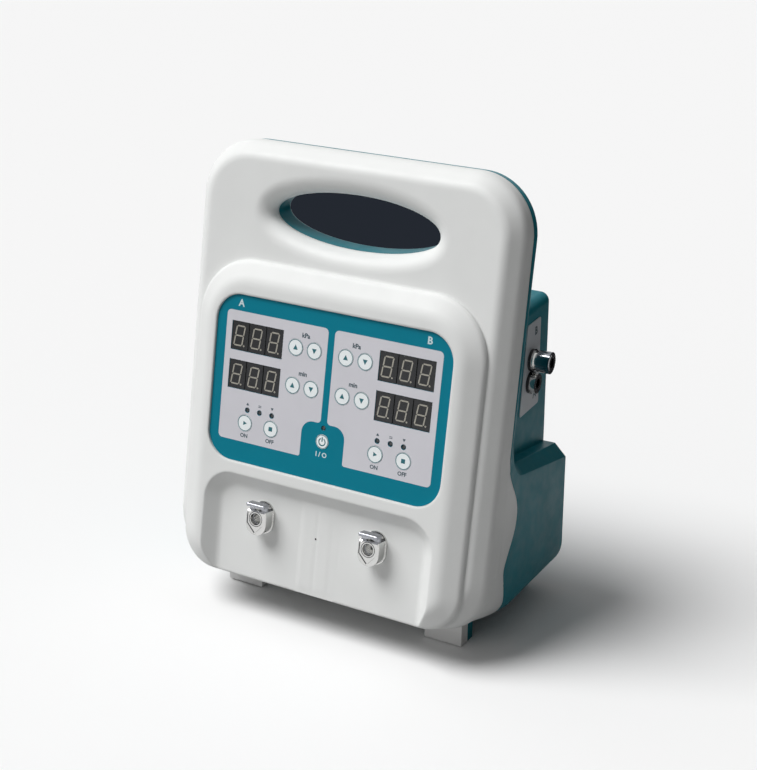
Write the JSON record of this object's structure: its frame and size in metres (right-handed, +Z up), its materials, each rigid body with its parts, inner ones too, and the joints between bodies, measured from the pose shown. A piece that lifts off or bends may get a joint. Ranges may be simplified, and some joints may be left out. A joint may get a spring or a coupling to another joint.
{
  "type": "pneumatic tourniquet",
  "caption": "Dual channel pneumatic tourniquet unit for bench use, leaning keypad panel, hand opening and cuff couplings",
  "frame": {"origin": "on the ground, under the middle of the overall box", "axes": "+Z up, front towards -Y, +X to the right seen from the front"},
  "size_m": [0.233, 0.1483, 0.3061],
  "materials": {
    "white_shell": "moulded",
    "teal_shell": "moulded",
    "overlay_film": "printed film",
    "key_white": "moulded",
    "display_black": "smoked",
    "lamp_lens": "tinted",
    "circuit_board": "laminate",
    "black_plastic": "moulded",
    "pump_metal": "die cast",
    "battery_wrap": "shrink wrap",
    "manifold_aluminium": "machined",
    "steel": "zinc plated",
    "chrome_plate": "polished",
    "nut_brass": "turned",
    "tube_rubber": "soft",
    "label_plastic": "printed"
  },
  "bodies": {
    "case": {"front_shell": "white_shell", "rear_shell": "teal_shell", "keypad_overlay": "overlay_film", "key_switches": "black_plastic", "display_a_time": "display_black", "display_a_pressure": "display_black", "display_b_time": "display_black", "display_b_pressure": "display_black", "indicator_lamps": "lamp_lens", "display_board": "circuit_board", "sounder": "black_plastic", "main_board": "circuit_board", "main_board_parts": "black_plastic", "pressure_sensors": "black_plastic", "power_supply": "pump_metal", "battery_pack": "battery_wrap", "air_pump_a": "pump_metal", "air_pump_b": "pump_metal", "valve_manifold": "manifold_aluminium", "solenoid_valves": "steel", "air_tubes": "tube_rubber", "coupling_body_a": "chrome_plate", "coupling_body_b": "chrome_plate", "coupling_nuts": "nut_brass", "side_port_body_a": "chrome_plate", "side_port_body_b": "chrome_plate", "side_port_flanges": "black_plastic", "side_port_nuts": "nut_brass", "side_label": "label_plastic", "front_foot_toes": "white_shell", "front_foot_heels": "teal_shell", "rear_feet": "teal_shell", "power_inlet": "black_plastic", "inlet_pins": "steel", "inlet_screws": "steel", "rocker_switch_frame": "black_plastic", "case_screws": "steel", "board_screws": "steel"},
    "key_a_pressure_up": {"key_a_pressure_up": "key_white"},
    "key_a_pressure_down": {"key_a_pressure_down": "key_white"},
    "key_a_time_up": {"key_a_time_up": "key_white"},
    "key_a_time_down": {"key_a_time_down": "key_white"},
    "key_b_pressure_up": {"key_b_pressure_up": "key_white"},
    "key_b_pressure_down": {"key_b_pressure_down": "key_white"},
    "key_b_time_up": {"key_b_time_up": "key_white"},
    "key_b_time_down": {"key_b_time_down": "key_white"},
    "key_a_start": {"key_a_start": "key_white"},
    "key_a_stop": {"key_a_stop": "key_white"},
    "key_b_start": {"key_b_start": "key_white"},
    "key_b_stop": {"key_b_stop": "key_white"},
    "key_power": {"key_power": "key_white"},
    "coupling_latch_a": {"coupling_latch_a": "chrome_plate"},
    "coupling_latch_b": {"coupling_latch_b": "chrome_plate"},
    "side_port_sleeve": {"side_port_sleeve": "chrome_plate"},
    "power_rocker": {"power_rocker": "black_plastic"}
  },
  "joints": [
    {"name": "key_a_pressure_up_press", "type": "slide", "parent": "case", "child": "key_a_pressure_up", "axis": [0, 0.9823, -0.1874], "range_m": [0, 0.0005], "stiffness_N_per_m": 400, "springref_m": -0.0005},
    {"name": "key_a_pressure_down_press", "type": "slide", "parent": "case", "child": "key_a_pressure_down", "axis": [0, 0.9823, -0.1874], "range_m": [0, 0.0005], "stiffness_N_per_m": 400, "springref_m": -0.0005},
    {"name": "key_a_time_up_press", "type": "slide", "parent": "case", "child": "key_a_time_up", "axis": [0, 0.9823, -0.1874], "range_m": [0, 0.0005], "stiffness_N_per_m": 400, "springref_m": -0.0005},
    {"name": "key_a_time_down_press", "type": "slide", "parent": "case", "child": "key_a_time_down", "axis": [0, 0.9823, -0.1874], "range_m": [0, 0.0005], "stiffness_N_per_m": 400, "springref_m": -0.0005},
    {"name": "key_b_pressure_up_press", "type": "slide", "parent": "case", "child": "key_b_pressure_up", "axis": [0, 0.9823, -0.1874], "range_m": [0, 0.0005], "stiffness_N_per_m": 400, "springref_m": -0.0005},
    {"name": "key_b_pressure_down_press", "type": "slide", "parent": "case", "child": "key_b_pressure_down", "axis": [0, 0.9823, -0.1874], "range_m": [0, 0.0005], "stiffness_N_per_m": 400, "springref_m": -0.0005},
    {"name": "key_b_time_up_press", "type": "slide", "parent": "case", "child": "key_b_time_up", "axis": [0, 0.9823, -0.1874], "range_m": [0, 0.0005], "stiffness_N_per_m": 400, "springref_m": -0.0005},
    {"name": "key_b_time_down_press", "type": "slide", "parent": "case", "child": "key_b_time_down", "axis": [0, 0.9823, -0.1874], "range_m": [0, 0.0005], "stiffness_N_per_m": 400, "springref_m": -0.0005},
    {"name": "key_a_start_press", "type": "slide", "parent": "case", "child": "key_a_start", "axis": [0, 0.9823, -0.1874], "range_m": [0, 0.0005], "stiffness_N_per_m": 400, "springref_m": -0.0005},
    {"name": "key_a_stop_press", "type": "slide", "parent": "case", "child": "key_a_stop", "axis": [0, 0.9823, -0.1874], "range_m": [0, 0.0005], "stiffness_N_per_m": 400, "springref_m": -0.0005},
    {"name": "key_b_start_press", "type": "slide", "parent": "case", "child": "key_b_start", "axis": [0, 0.9823, -0.1874], "range_m": [0, 0.0005], "stiffness_N_per_m": 400, "springref_m": -0.0005},
    {"name": "key_b_stop_press", "type": "slide", "parent": "case", "child": "key_b_stop", "axis": [0, 0.9823, -0.1874], "range_m": [0, 0.0005], "stiffness_N_per_m": 400, "springref_m": -0.0005},
    {"name": "key_power_press", "type": "slide", "parent": "case", "child": "key_power", "axis": [0, 0.9823, -0.1874], "range_m": [0, 0.0005], "stiffness_N_per_m": 400, "springref_m": -0.0005},
    {"name": "coupling_latch_a_press", "type": "slide", "parent": "case", "child": "coupling_latch_a", "axis": [0, -0.1874, -0.9823], "range_m": [0, 0.0025], "stiffness_N_per_m": 300, "springref_m": -0.002},
    {"name": "coupling_latch_b_press", "type": "slide", "parent": "case", "child": "coupling_latch_b", "axis": [0, -0.1874, -0.9823], "range_m": [0, 0.0025], "stiffness_N_per_m": 300, "springref_m": -0.002},
    {"name": "side_port_sleeve_pull", "type": "slide", "parent": "case", "child": "side_port_sleeve", "axis": [-0.9981, -0.061, 0], "range_m": [0, 0.002], "stiffness_N_per_m": 500, "springref_m": -0.001},
    {"name": "power_rocker_turn", "type": "hinge", "parent": "case", "child": "power_rocker", "pos_m": [0.012, 0.0704, 0.045], "axis": [-1, 0, 0], "range_deg": [0, 18]}
  ]
}
